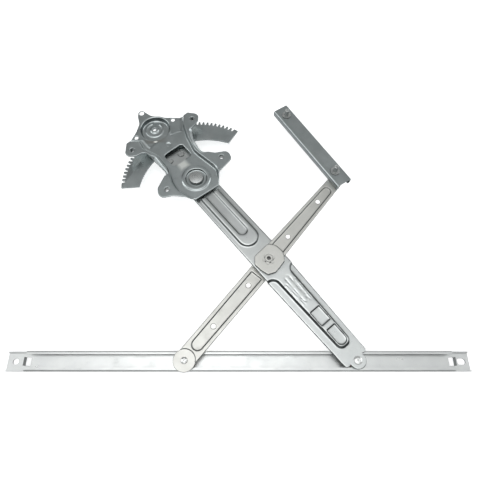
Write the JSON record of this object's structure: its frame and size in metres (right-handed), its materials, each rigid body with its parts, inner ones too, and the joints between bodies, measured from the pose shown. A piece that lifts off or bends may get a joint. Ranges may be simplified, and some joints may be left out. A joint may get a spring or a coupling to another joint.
{
  "type": "window regulator",
  "caption": "Crossed-arm car window regulator without its drive unit: stamped base plate, sector gear, ribbed lift arm, equalizer arm, glass rail and guide rail.",
  "frame": {"origin": "middle of the footprint, on the surface that the regulator lies on, which is the back of the glass rail", "axes": "+X along the glass rail towards the lift arm's end, +Y the way the window goes up, +Z along every pivot towards the mounting ears"},
  "size_m": [0.573, 0.3894, 0.0487],
  "materials": {
    "zinc_plate": "blue-grey zinc-plated sheet",
    "zinc_plate_bright": "bright zinc-plated sheet",
    "plain_steel": "plated steel, turned or headed",
    "roller_polymer": "moulded polyamide",
    "bush_polymer": "moulded bearing plastic"
  },
  "bodies": {
    "base": {"base_plate": "zinc_plate", "weld_nut_1": "plain_steel", "weld_nut_2": "plain_steel", "weld_nut_3": "plain_steel", "weld_nut_4": "plain_steel", "pivot_rivet": "plain_steel", "pivot_bush": "bush_polymer", "pivot_washer": "plain_steel"},
    "lift": {"lift_arm": "zinc_plate_bright", "sector_gear": "zinc_plate", "sector_rivet_1": "plain_steel", "sector_rivet_2": "plain_steel", "sector_rivet_3": "plain_steel", "lift_roller_stud": "plain_steel"},
    "equalizer": {"upper_arm": "zinc_plate_bright", "lower_arm": "zinc_plate_bright", "centre_bush": "plain_steel", "centre_spacer": "bush_polymer", "lower_roller_stud": "plain_steel", "guide_roller_stud": "plain_steel"},
    "lift_wheel": {"lift_roller": "roller_polymer"},
    "lower_wheel": {"lower_roller": "roller_polymer"},
    "guide_wheel": {"guide_roller": "roller_polymer"},
    "glass_channel": {"glass_rail": "zinc_plate_bright"},
    "guide_channel": {"guide_rail": "zinc_plate", "guide_stud_1": "plain_steel", "guide_stud_2": "plain_steel"}
  },
  "joints": [
    {"name": "lift_pivot", "type": "hinge", "parent": "base", "child": "lift", "pos_m": [-0.06, 0.066, 0.02], "axis": [0, 0, 1], "range_deg": [-4, 62]},
    {"name": "centre_pivot", "type": "hinge", "parent": "lift", "child": "equalizer", "pos_m": [0.03997, -0.05441, 0.022], "axis": [0, 0, 1], "range_deg": [-124, 8]},
    {"name": "lift_roller_pivot", "type": "hinge", "parent": "lift", "child": "lift_wheel", "pos_m": [0.14568, -0.18175, 0.005], "axis": [0, 0, 1], "range_deg": [-62, 4]},
    {"name": "rail_slide", "type": "slide", "parent": "lift_wheel", "child": "glass_channel", "axis": [1, 0, 0], "range_m": [-0.11, 0.066]},
    {"name": "lower_roller_spin", "type": "hinge", "parent": "equalizer", "child": "lower_wheel", "pos_m": [-0.06575, -0.18175, 0.005], "axis": [0, 0, 1], "continuous": true},
    {"name": "guide_swivel", "type": "hinge", "parent": "equalizer", "child": "guide_wheel", "pos_m": [0.14089, 0.06715, 0.032], "axis": [0, 0, 1], "range_deg": [-130, 20]},
    {"name": "guide_slide", "type": "slide", "parent": "guide_wheel", "child": "guide_channel", "axis": [0.5388, -0.8425, 0], "range_m": [-0.003, 0.115]}
  ],
  "couplings": [
    {"joint": "centre_pivot", "follows": "lift_pivot", "ratio": -2},
    {"joint": "lift_roller_pivot", "follows": "lift_pivot", "ratio": -1}
  ]
}
